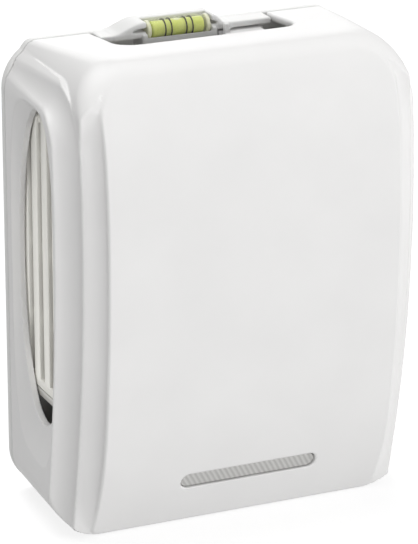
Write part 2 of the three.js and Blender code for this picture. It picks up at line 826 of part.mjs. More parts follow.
function controlBoard() {
  const board = box([-30, 30], boardY, [trayBottom + trayWall + 0.8, trayTop - 1]);
  let solid = board;
  for (const side of [-1, 1]) {
    solid = solid.subtract(cylinderY(1.3, [boardY[0] - 1, boardY[1] + 1], side * screwX, screwZ, 16));
  }
  return solid;
}

const screwX = 27;
const screwZ = 15;

function boardScrew(side) {
  const shank = cylinderY(1, [boardY[0] - fit, boardY[1] + 0.3], side * screwX, screwZ, 16);
  const head = cylinderY(2.1, [boardY[0] - fit - 1.3, boardY[0] - fit], side * screwX, screwZ, 20);
  const slotX = [side * screwX - 3, side * screwX + 3];
  const slotY = [boardY[0] - fit - 2, boardY[0] - fit - 0.8];
  const slot = box(slotX, slotY, [screwZ - 0.3, screwZ + 0.3]);
  return shank.add(head).subtract(slot);
}

function switchBody() {
  const x = [sliderX - 5, sliderX + 5 + sliderTravel];
  const y = [boardY[0] - fit - 2.2, boardY[0] - fit];
  const trackX = [sliderX - 1.8, sliderX + 1.8 + sliderTravel];
  const track = box(trackX, [y[0] - 1, y[0] + 1.2], [sliderZ - 1.4, sliderZ + 1.4]);
  return box(x, y, [sliderZ - 3, sliderZ + 3]).subtract(track);
}

function rateSlider() {
  const inside = boardY[0] - fit - 1.3;
  const stemZ = [sliderZ - 0.9, sliderZ + 0.9];
  const stem = box([sliderX - 1.2, sliderX + 1.2], [trayY[0] - 0.6, inside], stemZ);
  const headZ = [sliderZ - 2.4, sliderZ + 2.4];
  const head = box([sliderX - 2.6, sliderX + 2.6], [trayY[0] - 2.2, trayY[0] - 0.5], headZ);
  return stem.add(head);
}

function statusLamp() {
  const x = slotX;
  const z = slotZ + 3;
  const bulb = cylinderY(1.5, [roomY[0] - 0.6, boardY[0] - fit], x, z, 20);
  return bulb.add(cylinderY(1.9, [boardY[0] - fit - 0.8, boardY[0] - fit], x, z, 20));
}

// Scene --------------------------------------------------------------------------------------------

function material(color, roughness, metalness = 0, extra = {}) {
  return new THREE.MeshStandardMaterial({ color, roughness, metalness, ...extra });
}

const white = () => material(0xececec, 0.28);
const ivory = () => material(0xe6e5de, 0.45);
const frosted = () => material(0xd6d5d4, 0.55);
const clear = () => material(0xe8efc8, 0.08, 0, { transparent: true, opacity: 0.4 });
const lime = () => material(0xb9c24a, 0.15);
const steel = () => material(0xb8babd, 0.3, 1);
const felt = () => material(0xcfc6b4, 0.95);
const film = () => material(0xc9ccce, 0.35);
const rubber = () => material(0x3a3a3c, 0.8);
const board = () => material(0x2f6b45, 0.5);
const grey = () => material(0x8f9296, 0.5);

function part(name, solid, look) {
  const mesh = new THREE.Mesh(toGeometry(solid), look);
  mesh.name = name;
  return mesh;
}

const housing = new THREE.Group();
housing.add(part('back_plate', backPlate(), white()));
housing.add(part('hinge_pin_left', hingePin(-1), steel()));
housing.add(part('hinge_pin_right', hingePin(1), steel()));
housing.add(part('vial_tube', vialTube(), clear()));
housing.add(part('vial_liquid', vialLiquid(), lime()));
housing.add(part('vial_cap_left', vialCap(-1), ivory()));
housing.add(part('vial_cap_right', vialCap(1), ivory()));
housing.add(part('release_latch', releaseLatch(), white()));

const springLow = latchTopZ - 12 + 1.6;
const springWire = 0.3;
const springLength = latchTopZ - 3 - springLow - 2 * (springWire + fit);
const latchSpring = part('latch_spring', coilSpring(2.2, springWire, 4, springLength), steel());
latchSpring.position.set((latchX[0] + latchX[1]) / 2, springY, springLow + springWire + fit);
housing.add(latchSpring);

const cover = new THREE.Group();
cover.add(part('front_cover', frontCover(), white()));
cover.add(part('slot_window', slotWindow(), frosted()));
cover.add(part('window_retainer', windowRetainer(), white()));

const cartridge = new THREE.Group();
cartridge.add(part('cage_right', cageSide(), ivory()));
cartridge.add(part('cage_left', mirrored(cageSide()), ivory()));
cartridge.add(part('cage_top', cageTopPlate(), ivory()));
cartridge.add(part('cartridge_spine', spine(), ivory()));
cartridge.add(part('cartridge_shelf', shelf(), ivory()));
cartridge.add(part('cartridge_tray', tray(), ivory()));
cartridge.add(part('reservoir_shell', reservoirShell(), ivory()));
cartridge.add(part('reservoir_lid', reservoirLid(), ivory()));
cartridge.add(part('fluid_bag', fluidBag(), film()));
cartridge.add(part('bag_spout', spout(), ivory()));
cartridge.add(part('feed_tube_left', feedTube(-1), film()));
cartridge.add(part('feed_tube_right', feedTube(1), film()));
cartridge.add(part('wick_right', wick(), felt()));
cartridge.add(part('wick_left', mirrored(wick()), felt()));
cartridge.add(part('oxygen_cell', oxygenCell(), steel()));
cartridge.add(part('cell_membrane', cellMembrane(), film()));
cartridge.add(part('gas_nipple', gasNipple(), grey()));
cartridge.add(part('cell_seal', cellSeal(), rubber()));
cartridge.add(part('battery', battery(), grey()));
cartridge.add(part('contact_plate', contactPlate(), steel()));
cartridge.add(part('control_board', controlBoard(), board()));
cartridge.add(part('board_screw_left', boardScrew(-1), steel()));
cartridge.add(part('board_screw_right', boardScrew(1), steel()));
cartridge.add(part('switch_body', switchBody(), grey()));
cartridge.add(part('rate_slider', rateSlider(), rubber()));
cartridge.add(part('status_lamp', statusLamp(), frosted()));

const contactSpring = part('contact_spring', coilSpring(3, 0.3, 3, 1.6), steel());
contactSpring.rotation.y = Math.PI / 2;
contactSpring.position.set(-trayHalf + trayWall + 0.7, batteryY, batteryZ);
cartridge.add(contactSpring);

const dispenser = new THREE.Group();
dispenser.add(housing, cover, cartridge);

export default dispenser;
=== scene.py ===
# The looks of the oxygen cell dispenser: an oxygen-driven wall dispenser with a hinged bowed cover.
# Lengths inside the surface fields are millimetres; every Blender object is in metres.
import math

import bmesh
import bpy
import numpy as np
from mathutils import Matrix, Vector


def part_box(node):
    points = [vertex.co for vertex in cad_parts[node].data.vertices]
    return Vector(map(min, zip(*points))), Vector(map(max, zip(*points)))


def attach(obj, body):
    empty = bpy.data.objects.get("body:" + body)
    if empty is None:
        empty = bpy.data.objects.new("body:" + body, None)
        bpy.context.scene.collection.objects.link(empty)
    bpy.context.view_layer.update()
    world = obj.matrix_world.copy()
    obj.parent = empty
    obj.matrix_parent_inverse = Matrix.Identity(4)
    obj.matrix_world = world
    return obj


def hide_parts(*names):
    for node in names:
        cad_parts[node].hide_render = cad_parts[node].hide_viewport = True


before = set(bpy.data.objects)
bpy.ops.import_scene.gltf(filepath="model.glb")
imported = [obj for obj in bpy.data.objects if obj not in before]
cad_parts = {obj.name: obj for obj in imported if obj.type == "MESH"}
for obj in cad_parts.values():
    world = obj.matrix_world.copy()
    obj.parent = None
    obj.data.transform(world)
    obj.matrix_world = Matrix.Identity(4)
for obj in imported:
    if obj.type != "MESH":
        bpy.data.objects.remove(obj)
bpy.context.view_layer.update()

MM = 0.001

# Sizes read from the frame, in millimetres -------------------------------------------------------


def node_box(name):
    low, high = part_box(name)
    return np.array(low) / MM, np.array(high) / MM


COVER_LOW, COVER_HIGH = node_box("front_cover")
PLATE_LOW, PLATE_HIGH = node_box("back_plate")
VIAL_LOW, VIAL_HIGH = node_box("vial_tube")
CAP_LOW = node_box("vial_cap_left")[0]
WINDOW_LOW, WINDOW_HIGH = node_box("slot_window")
HEIGHT = COVER_HIGH[2]
PAD_HALF = COVER_HIGH[0]
FRONT_Y = COVER_LOW[1]
REAR_Y = PLATE_HIGH[1]
COVER_REAR_Y = COVER_HIGH[1]

# Sizes of the moulded shapes
PAD_STEP = 5.5
PANEL_STEP = 5.5
REAR_TAPER = 2.1
BODY_HALF = PAD_HALF - PAD_STEP
PANEL_HALF = BODY_HALF - PANEL_STEP
REAR_HALF = PAD_HALF - REAR_TAPER
WALL = 2.2
PLATE_FRONT_Y = REAR_Y - 2.6
TOP_DROP = 3.6
REAR_TOP_Z = HEIGHT - TOP_DROP
BODY_FRONT_Y = FRONT_Y + 5.2
PAD_FRONT_Y = BODY_FRONT_Y + 2.2
REACH = 7.9  # how far the vents' swelling stands behind the shoulder
LIP_BACK = 8.1
ARCH_TOP_Z = HEIGHT - 14
ARCH_CORNER = 9.0
SIDE_FOOT_Z = 0.3
SIDE_CORNERS = (13.5, 14.0)
BODY_CORNERS = (8.0, 14.0)
PANEL_CORNERS = (2.5, 10.0)
PANEL_BACKING = 0.35
BOW_MIDDLE_Z = HEIGHT / 2 + 18
BOW_REACH = 80
FOOT_ROLL = 40
HEAD_ROLL = 28
ROLL_POWER = 2.5
CHAMBER_HALF = PAD_HALF - PAD_STEP - 0.4
CHAMBER_FRONT_Y = PAD_FRONT_Y + 8.4
NOTCH_HALF = 27.2
NOTCH_FRONT_Y = COVER_REAR_Y - 23
HINGE_R = 3.5
HINGE_Y = COVER_REAR_Y - HINGE_R
HINGE_Z = HINGE_R
EAR_X = 33
EAR_HALF = 3
PIN_BORE = 1.6
VIAL_X = (VIAL_LOW[0] + VIAL_HIGH[0]) / 2
VIAL_Y = (VIAL_LOW[1] + VIAL_HIGH[1]) / 2
VIAL_Z = (VIAL_LOW[2] + VIAL_HIGH[2]) / 2
VIAL_R = (VIAL_HIGH[2] - VIAL_LOW[2]) / 2
VIAL_HALF = VIAL_X - CAP_LOW[0]
LEDGE_Y = VIAL_Y - VIAL_R + 0.4
SLOT_X = (WINDOW_LOW[0] + WINDOW_HIGH[0]) / 2
SLOT_Z = (WINDOW_LOW[2] + WINDOW_HIGH[2]) / 2
SLOT_HALF = (WINDOW_HIGH[0] - WINDOW_LOW[0]) / 2 - 2
SLOT_TALL = (WINDOW_HIGH[2] - WINDOW_LOW[2]) / 2 - 2

# Surface fields: negative inside, about one millimetre per millimetre near the surface ------------


def both(a, b, r=0.0):
    """What is inside a and b, its edge rounded to r."""
    if np.isscalar(r) and r <= 0:
        return np.maximum(a, b)
    rounded = np.hypot(np.maximum(a + r, 0), np.maximum(b + r, 0))
    return np.minimum(np.maximum(a, b), -r) + rounded


def either(a, b, r=0.0):
    """What is inside a or b, the inner corner filled to r."""
    return -both(-a, -b, r)


def without(a, b, r=0.0):
    return both(a, -b, r)


def rect(u, v, u_range, v_range, low_r, high_r=None):
    """A rectangle with rounded corners, by its own radius at the low and the high end of v."""
    high_r = low_r if high_r is None else high_r
    uc, uh = (u_range[0] + u_range[1]) / 2, (u_range[1] - u_range[0]) / 2
    vc, vh = (v_range[0] + v_range[1]) / 2, (v_range[1] - v_range[0]) / 2
    r = np.where(v > vc, high_r, low_r)
    a = np.abs(u - uc) - uh + r
    b = np.abs(v - vc) - vh + r
    return np.hypot(np.maximum(a, 0), np.maximum(b, 0)) + np.minimum(np.maximum(a, b), 0) - r


def block(x, y, z, xr, yr, zr, r=0.3):
    a = np.abs(x - (xr[0] + xr[1]) / 2) - (xr[1] - xr[0]) / 2 + r
    b = np.abs(y - (yr[0] + yr[1]) / 2) - (yr[1] - yr[0]) / 2 + r
    c = np.abs(z - (zr[0] + zr[1]) / 2) - (zr[1] - zr[0]) / 2 + r
    outside = np.sqrt(np.maximum(a, 0) ** 2 + np.maximum(b, 0) ** 2 + np.maximum(c, 0) ** 2)
    return outside + np.minimum(np.maximum(np.maximum(a, b), c), 0) - r


def rod_x(x, y, z, r, xr, yc, zc, edge=0.2):
    ends = np.abs(x - (xr[0] + xr[1]) / 2) - (xr[1] - xr[0]) / 2
    return both(np.hypot(y - yc, z - zc) - r, ends, edge)


def oval(u, v, uc, vc, uh, vh, power):
    """A superellipse, scaled to a near-true distance."""
    a = np.abs(u - uc) / uh + 1e-6
    b = np.abs(v - vc) / vh + 1e-6
    g = (a**power + b**power) ** (1 / power)
    ga = (a / g) ** (power - 1) / uh
    gb = (b / g) ** (power - 1) / vh
    return (g - 1) / np.maximum(np.hypot(ga, gb), 0.5 / np.maximum(uh, vh))


def bow(z, front, lower, upper, low_roll, high_roll):
    """A front surface's y and slope at z: bowed, with a tighter roll at each end."""
    t = (z - BOW_MIDDLE_Z) / BOW_REACH
    bend = np.where(t < 0, lower, upper)
    low = np.maximum(0, FOOT_ROLL - z) / FOOT_ROLL
    high = np.maximum(0, z - HEIGHT + HEAD_ROLL) / HEAD_ROLL
    y = front + bend * t * t + low_roll * low**ROLL_POWER + high_roll * high**ROLL_POWER
    slope = 2 * bend * t / BOW_REACH
    slope = slope - ROLL_POWER * low_roll * low ** (ROLL_POWER - 1) / FOOT_ROLL
    slope = slope + ROLL_POWER * high_roll * high ** (ROLL_POWER - 1) / HEAD_ROLL
    return y, slope


def panel_y(z, inset=0.0):
    return bow(z, FRONT_Y + inset, 8.0, 14.0, 6.8, 6.2)


def shoulder_y(z, inset=0.0):
    """The outer edge of the shoulder on both sides of the panel."""
    return bow(z, BODY_FRONT_Y + inset, 9.4, 9.4, 0.0, 4.2)


def lip_y(z):
    """The front edge of the swelling round each vent."""
    return bow(z, BODY_FRONT_Y + LIP_BACK, 9.4, 9.4, 0.0, 0.0)


def panel_front(y, z, inset=0.0):
    at, slope = panel_y(z, inset)
    return (at - y) / np.sqrt(1 + slope**2)


def body_front(y, z, inset=0.0):
    at, slope = shoulder_y(z, inset)
    return (at - y) / np.sqrt(1 + slope**2)


def top_slope(y, z, inset=0.0):
    lean = TOP_DROP / (COVER_REAR_Y + 13.4)
    return (z - HEIGHT + inset + lean * (y + 13.4)) / math.sqrt(1 + lean**2)


def smooth_step(t):
    t = np.clip(t, 0, 1)
    return t * t * (3 - 2 * t)


def shoulder(x, y, z):
    """The case behind the panel: its front is a cove that sweeps forward to the panel's edge."""
    outline = rect(x, z, (-BODY_HALF, BODY_HALF), (0, HEIGHT), *BODY_CORNERS)
    front = panel_y(z, PANEL_BACKING)[0]
    inward = -rect(x, z, (-BODY_HALF, BODY_HALF), (-60, HEIGHT), *BODY_CORNERS)
    fade = smooth_step((z - HEIGHT + 22) / 19)
    depth = np.maximum((shoulder_y(z)[0] - front) * (1 - fade), 0.3)
    cove = oval(inward, y, 0, front, PANEL_STEP, depth, 2.0)
    cove = cove + 1.5 * smooth_step((z - HEIGHT + 14) / 8)
    return without(both(outline, panel_front(y, z, PANEL_BACKING), 0.3 + 5 * fade), cove, 0.5)


def arch(y, z):
    """How far a point is outside the arch round each vent, seen from the side."""
    at, slope = lip_y(z)
    return both((at - y) / np.sqrt(1 + slope**2), z - ARCH_TOP_Z, ARCH_CORNER)


def swelling(x, y, z):
    """The swelling round the vents: a second cove, from the vent's lip to the shoulder's edge."""
    taper = np.clip((y - PAD_FRONT_Y) / (COVER_REAR_Y - PAD_FRONT_Y), 0, 1)
    side = np.abs(x)
    wide = (-PAD_HALF, PAD_HALF)
    outline = rect(side + REAR_TAPER * taper, z, wide, (SIDE_FOOT_Z, REAR_TOP_Z), *SIDE_CORNERS)
    ahead = arch(y, z)
    cove = oval(PAD_HALF - side, REACH - ahead, 0, 0, PAD_STEP, REACH, 2.0)
    return without(both(outline, ahead - REACH), cove, 0.5)


def case_outside(x, y, z):
    """The cover's outer form: the panel on the shoulder on the swelling, under the sloping top."""
    outline = rect(x, z, (-PANEL_HALF, PANEL_HALF), (0, HEIGHT), *PANEL_CORNERS)
    panel = both(outline, panel_front(y, z), 0.7 + 3.3 * smooth_step((z - HEIGHT + 14) / 11))
    case = either(both(panel, y), shoulder(x, y, z), 0.25)
    case = either(case, swelling(x, y, z), 0.25)
    case = both(case, top_slope(y, z), 1.0)
    return both(case, both(y - COVER_REAR_Y, -z, HINGE_R), 0.3)


def case_room(x, y, z):
    """The hollow inside the cover, a wall in from its outer form."""
    panel = rect(x, z, (WALL - PANEL_HALF, PANEL_HALF - WALL), (WALL, HEIGHT - WALL), 1.0, 7.8)
    panel = both(both(both(panel, panel_front(y, z, WALL)), y), top_slope(y, z, WALL))
    body = rect(x, z, (WALL - BODY_HALF, BODY_HALF - WALL), (WALL, HEIGHT - WALL), 6.0, 11.8)
    body = both(both(body, body_front(y, z, WALL)), top_slope(y, z, WALL))
    chamber = rect(x, z, (-CHAMBER_HALF, CHAMBER_HALF), (13, HEIGHT - 6), 8.0, 14.0)
    chamber = both(chamber, CHAMBER_FRONT_Y - y)
    return either(either(panel, body, 0.6), chamber, 0.6)


def vent(x, y, z):
    """The scoop and the arched opening on both sides."""
    side = np.abs(x)
    rim_x = CHAMBER_HALF + 1.9
    rim_depth, rim_tall, rim_middle_z = 17.0, 46.6, 76.0
    rim_y = COVER_REAR_Y - 4.3 - rim_depth
    mouth_front, mouth_rear = lip_y(z)[0] + 0.9, COVER_REAR_Y - 1.9
    mouth_foot, mouth_top = 10.5, HEIGHT - 13.5
    t = np.clip((side - rim_x) / (PAD_HALF + 1.2 - rim_x), 0, 1)
    middle = ((mouth_front + mouth_rear) / 2, (mouth_foot + mouth_top) / 2)
    halves = ((mouth_rear - mouth_front) / 2, (mouth_top - mouth_foot) / 2)
    rim = (rim_y, rim_middle_z, rim_depth, rim_tall)
    mix = [a + (b - a) * t for a, b in zip(rim, middle + halves)]
    edge = oval(y, z, *mix, 2.1 + 3.4 * t)
    return both(edge, CHAMBER_HALF - 3 - side)


def slot(x, z, grow=0.0):
    half, tall = SLOT_HALF + grow, SLOT_TALL + grow
    return rect(x, z, (SLOT_X - half, SLOT_X + half), (SLOT_Z - tall, SLOT_Z + tall), tall - 0.01)


def cover_field(x, y, z):
    """The front cover: a hollow shell with its notch, vents, slot, catch and hinge barrels."""
    field = without(case_outside(x, y, z), case_room(x, y, z), 0.3)
    notch = rect(x, y, (-NOTCH_HALF, NOTCH_HALF), (NOTCH_FRONT_Y, REAR_Y + 12), 6.0)
    field = without(field, both(notch, REAR_TOP_Z - 8 - z), 0.9)
    field = without(field, vent(x, y, z), 0.35)
    field = without(field, both(slot(x, z), y), 0.45)
    catch_x = (NOTCH_HALF + 1.5, NOTCH_HALF + 5.5)
    catch_y = (NOTCH_FRONT_Y + 3.25, NOTCH_FRONT_Y + 5.25)
    catch_z = (HEIGHT - WALL - 4.6, HEIGHT - WALL - 1.0)
    field = either(field, block(x, y, z, catch_x, catch_y, catch_z, 0.25), 0.4)
    side = np.abs(x)
    near = EAR_X + EAR_HALF + 0.5
    field = either(field, rod_x(side, y, z, HINGE_R, (near, near + 7), HINGE_Y, HINGE_Z), 0.3)
    ear = (EAR_X - EAR_HALF - 0.5, EAR_X + EAR_HALF + 0.5)
    gap = block(side, y, z, ear, (HINGE_Y - HINGE_R - 1, REAR_Y), (-1, HINGE_Z + HINGE_R + 1), 0.2)
    field = without(field, gap, 0.2)
    reach = (EAR_X - EAR_HALF - 6, EAR_X + EAR_HALF + 6)
    return without(field, rod_x(side, y, z, PIN_BORE, reach, HINGE_Y, HINGE_Z), 0.1)


def window_field(x, y, z):
    """The slot's frosted insert: a lens in the slot and a flange behind the wall."""
    back = -panel_front(y, z, WALL + 1.4)
    lens = both(both(slot(x, z, -0.2), panel_front(y, z, 0.75), 0.4), back, 0.1)
    flange = both(both(slot(x, z, 2.0), panel_front(y, z, WALL + 0.3), 0.2), back, 0.1)
    return either(lens, flange, 0.1)


def plate_field(x, y, z):
    """The back plate: ledge, hump and cradle round the vial, hinge arms, hooks and keyholes."""
    outline = either(
        rect(x, z, (-BODY_HALF, BODY_HALF), (0, HEIGHT), *BODY_CORNERS),
        rect(x, z, (-REAR_HALF, REAR_HALF), (SIDE_FOOT_Z, REAR_TOP_Z), *SIDE_CORNERS),
    )
    outline = both(outline, z - REAR_TOP_Z, 1.0)
    sheet = np.abs(y - (PLATE_FRONT_Y + REAR_Y) / 2) - (REAR_Y - PLATE_FRONT_Y) / 2
    field = both(outline, sheet, 0.5)
    ledge_half = NOTCH_HALF - 0.7
    ledge_z = (REAR_TOP_Z - 1.8, REAR_TOP_Z)
    ledge_x, ledge_y = (-ledge_half, ledge_half), (LEDGE_Y, PLATE_FRONT_Y + 1)
    field = either(field, block(x, y, z, ledge_x, ledge_y, ledge_z, 0.5), 0.4)
    left, right = VIAL_X - VIAL_HALF, VIAL_X + VIAL_HALF
    rise = smooth_step((x - left + 12) / 10.5) * (1 - smooth_step((x - right - 0.8) / 4.5))
    top = REAR_TOP_Z - 0.3 + (VIAL_R + 0.3) * rise
    hump = both(both(z - top, top - 1.8 - z, 0.3) * 0.9, LEDGE_Y - y, 0.5)
    hump = both(hump, np.abs(x - (left - 6 + right + 2.4) / 2) - (right - left + 16.8) / 2, 0.3)
    hump = both(hump, y - REAR_Y, 0.4)
    field = either(field, hump, 0.6)
    seat_x = (left - 1.8, right + 1.8)
    seat_z = (VIAL_Z - VIAL_R - 1.8, VIAL_Z - 0.4)
    seat_y, back_y = (LEDGE_Y - 0.8, PLATE_FRONT_Y + 1), (VIAL_Y, PLATE_FRONT_Y + 1)
    field = either(field, block(x, y, z, seat_x, seat_y, seat_z, 0.4), 0.3)
    field = either(field, block(x, y, z, seat_x, back_y, (VIAL_Z - 1, REAR_TOP_Z), 0.3), 0.3)
    cut_x = (left - 0.3, right + 0.3)
    pocket = rod_x(x, y, z, VIAL_R + 0.3, cut_x, VIAL_Y, VIAL_Z, 0.05)
    wide = (VIAL_Y - VIAL_R - 0.3, VIAL_Y + VIAL_R + 0.3)
    pocket = either(pocket, block(x, y, z, cut_x, wide, (VIAL_Z, HEIGHT + 1), 0.05))
    ahead = (LEDGE_Y - 4, VIAL_Y)
    pocket = either(pocket, block(x, y, z, cut_x, ahead, (VIAL_Z - 1.1, HEIGHT + 1), 0.05))
    field = without(field, pocket, 0.25)
    side = np.abs(x)
    ear = (EAR_X - EAR_HALF, EAR_X + EAR_HALF)
    arm_y, arm_z = (HINGE_Y, PLATE_FRONT_Y + 1), (HINGE_Z - 1.8, HINGE_Z + HINGE_R - 0.3)
    arm = block(side, y, z, ear, arm_y, arm_z, 0.2)
    field = either(field, either(arm, rod_x(side, y, z, HINGE_R - 0.3, ear, HINGE_Y, HINGE_Z)), 0.3)
    bore = rod_x(side, y, z, PIN_BORE, (EAR_X - 6, EAR_X + 6), HINGE_Y, HINGE_Z)
    field = without(field, bore, 0.1)
    rim_x = (CHAMBER_HALF - 2.5, CHAMBER_HALF - 0.5)
    rim_z = (22.5, node_box("cartridge_shelf")[0][2] - 1.2)
    rim_y = (COVER_REAR_Y - 2.6, PLATE_FRONT_Y + 1)
    field = either(field, block(side, y, z, rim_x, rim_y, rim_z), 0.4)
    spine_y = node_box("cartridge_spine")[0][1]
    hook_x = (31.0, 37.0)
    stem = block(side, y, z, hook_x, (spine_y - 2.3, PLATE_FRONT_Y + 1), (60, 63), 0.3)
    lip = block(side, y, z, hook_x, (spine_y - 2.3, spine_y - 0.3), (60, 65.1), 0.4)
    field = either(field, either(stem, lip), 0.3)
    latch_top = REAR_TOP_Z - 2.4
    guide_y = (LEDGE_Y - 0.4, PLATE_FRONT_Y + 1)
    guides = block(x, y, z, (7.6, 26.4), guide_y, (latch_top - 12, latch_top - 10.4))
    guides = either(guides, block(x, y, z, (7.6, 9.5), guide_y, (latch_top - 12, REAR_TOP_Z - 1)))
    guides = either(guides, block(x, y, z, (24.5, 26.4), guide_y, (latch_top - 12, latch_top - 5.6)))
    field = either(field, guides, 0.3)
    for low in (HEIGHT / 2 - 30, HEIGHT / 2 + 38):
        entry = np.hypot(x, z - low) - 4
        neck = rect(x, z, (-2, 2), (low, low + 10), 1.99)
        field = without(field, both(either(entry, neck), PLATE_FRONT_Y - 1 - y), 0.3)
    return field


# Meshes from fields -------------------------------------------------------------------------------


def sample(field, low, high, step):
    """The field's values on a grid that reaches two steps past the box."""
    ends = [(low[k] - 2 * step, high[k] + 2.5 * step) for k in range(3)]
    axes = [np.arange(*end, step, dtype=np.float32) for end in ends]
    x, y, z = np.meshgrid(*axes, indexing="ij")
    return field(x, y, z).astype(np.float32), np.array([a[0] for a in axes], dtype=np.float64)


def surface_net(values, origin, step):
    """One vertex in each cell that the surface crosses, one quad for each crossed grid edge."""
    inside = values < 0
    shape = np.array(values.shape) - 1
    corners = [(i, j, k) for i in (0, 1) for j in (0, 1) for k in (0, 1)]

    def at(array, c):
        return array[c[0]: c[0] + shape[0], c[1]: c[1] + shape[1], c[2]: c[2] + shape[2]]

    count = sum(at(inside, c).astype(np.int8) for c in corners)
    cells = np.argwhere((count > 0) & (count < 8))
    number = np.full(shape, -1, dtype=np.int64)
    number[tuple(cells.T)] = np.arange(len(cells))
    total = np.zeros((len(cells), 3))
    crossings = np.zeros(len(cells))
    for axis in range(3):
        for c in corners:
            if c[axis]:
                continue
            d = list(c)
            d[axis] = 1
            a = values[tuple((cells + c).T)]
            b = values[tuple((cells + d).T)]
            cut = (a < 0) != (b < 0)
            t = np.where(cut, a / np.where(cut, a - b, 1), 0)
            point = np.tile(np.array(c, dtype=np.float64), (len(cells), 1))
            point[:, axis] = t
            total += point * cut[:, None]
            crossings += cut
    verts = (cells + total / crossings[:, None]) * step + origin
    faces = []
    for axis in range(3):
        u, v = (axis + 1) % 3, (axis + 2) % 3
        low = [slice(None)] * 3
        high = [slice(None)] * 3
        low[axis], high[axis] = slice(0, -1), slice(1, None)
        start, end = inside[tuple(low)], inside[tuple(high)]
        edges = np.argwhere(start != end)
        keep = (edges[:, u] > 0) & (edges[:, v] > 0)
        keep = keep & (edges[:, u] < shape[u]) & (edges[:, v] < shape[v])
        edges = edges[keep]
        quad = []
        for du, dv in ((-1, -1), (0, -1), (0, 0), (-1, 0)):
            cell = edges.copy()
            cell[:, u] += du
            cell[:, v] += dv
            quad.append(number[tuple(cell.T)])
        quad = np.stack(quad, axis=1)
        flip = ~start[tuple(edges.T)]
        quad[flip] = quad[flip][:, ::-1]
        faces.append(quad)
    return verts, np.concatenate(faces)


def gradient(field, p, reach=0.02):
    out = np.zeros_like(p)
    for k in range(3):
        a, b = p.copy(), p.copy()
        a[:, k] += reach
        b[:, k] -= reach
        out[:, k] = (field(*a.T) - field(*b.T)) / (2 * reach)
    return out


def settle(field, p, rounds=3, most=0.35):
    """Moves points onto the field's surface."""
    for _ in range(rounds):
        g = gradient(field, p)
        size = np.maximum((g**2).sum(1), 0.05)
        move = -(field(*p.T) / size)[:, None] * g
        length = np.sqrt((move**2).sum(1))[:, None]
        p = p + move * np.minimum(1, most / np.maximum(length, 1e-9))
    return p


def coords(mesh):
    flat = np.empty(len(mesh.vertices) * 3)
    mesh.vertices.foreach_get("co", flat)
    return flat.reshape(-1, 3)


def add_object(name, mesh):
    piece = bpy.data.objects.new(name, mesh)
    bpy.context.scene.collection.objects.link(piece)
    return piece


def moulded(name, field, low, high, step, most_faces):
    """A smooth moulded piece from a surface field, thinned where it is flat."""
    values, origin = sample(field, low, high, step)
    verts, faces = surface_net(values, origin, step)
    verts = settle(field, verts)
    mesh = bpy.data.meshes.new(name)
    mesh.from_pydata((verts * MM).tolist(), [], faces.tolist())
    piece = add_object(name, mesh)
    if 2 * len(faces) > most_faces:
        thin = piece.modifiers.new("thin", "DECIMATE")
        thin.ratio = most_faces / (2 * len(faces))
        thin.use_collapse_triangulate = True
        apply_modifiers(piece)
    mesh = piece.data
    points = np.clip(settle(field, coords(mesh) / MM, 2, 0.1), low, high)
    mesh.vertices.foreach_set("co", (points * MM).ravel())
    mesh.update()
    mesh.shade_smooth()
    normals = gradient(field, points, 0.06)
    normals /= np.maximum(np.linalg.norm(normals, axis=1), 1e-9)[:, None]
    mesh.normals_split_custom_set_from_vertices(normals.tolist())
    return piece


def apply_modifiers(piece):
    graph = bpy.context.evaluated_depsgraph_get()
    graph.update()
    made = bpy.data.meshes.new_from_object(piece.evaluated_get(graph))
    old = piece.data
    piece.modifiers.clear()
    piece.data = made
    made.name = old.name
    bpy.data.meshes.remove(old)


def softened(node, width=0.25, segments=2, angle=28.0):
    """A copy of a CAD node's shape with rounded edges, to stand for the node."""
    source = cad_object(node)
    piece = add_object(node + "_shape", source.data.copy())
    piece.data.materials.clear()
    mesh = bmesh.new()
    mesh.from_mesh(piece.data)
    bmesh.ops.remove_doubles(mesh, verts=mesh.verts, dist=1e-6)
    flat = math.radians(1.0)
    bmesh.ops.dissolve_limit(mesh, angle_limit=flat, verts=mesh.verts, edges=mesh.edges)
    mesh.to_mesh(piece.data)
    mesh.free()
    edge = piece.modifiers.new("edge", "BEVEL")
    edge.width = width * MM
    edge.segments = segments
    edge.limit_method = "ANGLE"
    edge.angle_limit = math.radians(angle)
    edge.use_clamp_overlap = True
    edge.harden_normals = True
    apply_modifiers(piece)
    piece.data.shade_smooth()
    piece.data.set_sharp_from_angle(angle=math.radians(40))
    return piece


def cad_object(node):
    return bpy.data.objects[node]


def finished(piece, body, slot_name, material, *nodes):
    """Gives a piece its material and stands it for its CAD nodes; slot_name is not used."""
    piece.data.materials.clear()
    piece.data.materials.append(material)
    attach(piece, body)
    if nodes:
        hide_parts(*nodes)
    return piece


def lathe(name, profile, centre, axis, sides=48):
    """A turned piece with closed ends: profile is (radius, height) in millimetres."""
    mesh = bmesh.new()
    rings = []
    for radius, at in profile:
        ring = []
        for i in range(sides):
            angle = 2 * math.pi * i / sides
            a, b = radius * math.cos(angle), radius * math.sin(angle)
            place = {"X": (at, a, b), "Y": (b, at, a), "Z": (a, b, at)}[axis]
            ring.append(mesh.verts.new([(place[k] + centre[k]) * MM for k in range(3)]))
        rings.append(ring)
    for low, high in zip(rings, rings[1:]):
        for i in range(sides):
            j = (i + 1) % sides
            mesh.faces.new((low[i], low[j], high[j], high[i]))
    mesh.faces.new(rings[0][::-1])
    mesh.faces.new(rings[-1])
    bmesh.ops.recalc_face_normals(mesh, faces=mesh.faces)
    data = bpy.data.meshes.new(name)
    mesh.to_mesh(data)
    mesh.free()
    data.shade_smooth()
    data.set_sharp_from_angle(angle=math.radians(35))
    return add_object(name, data)


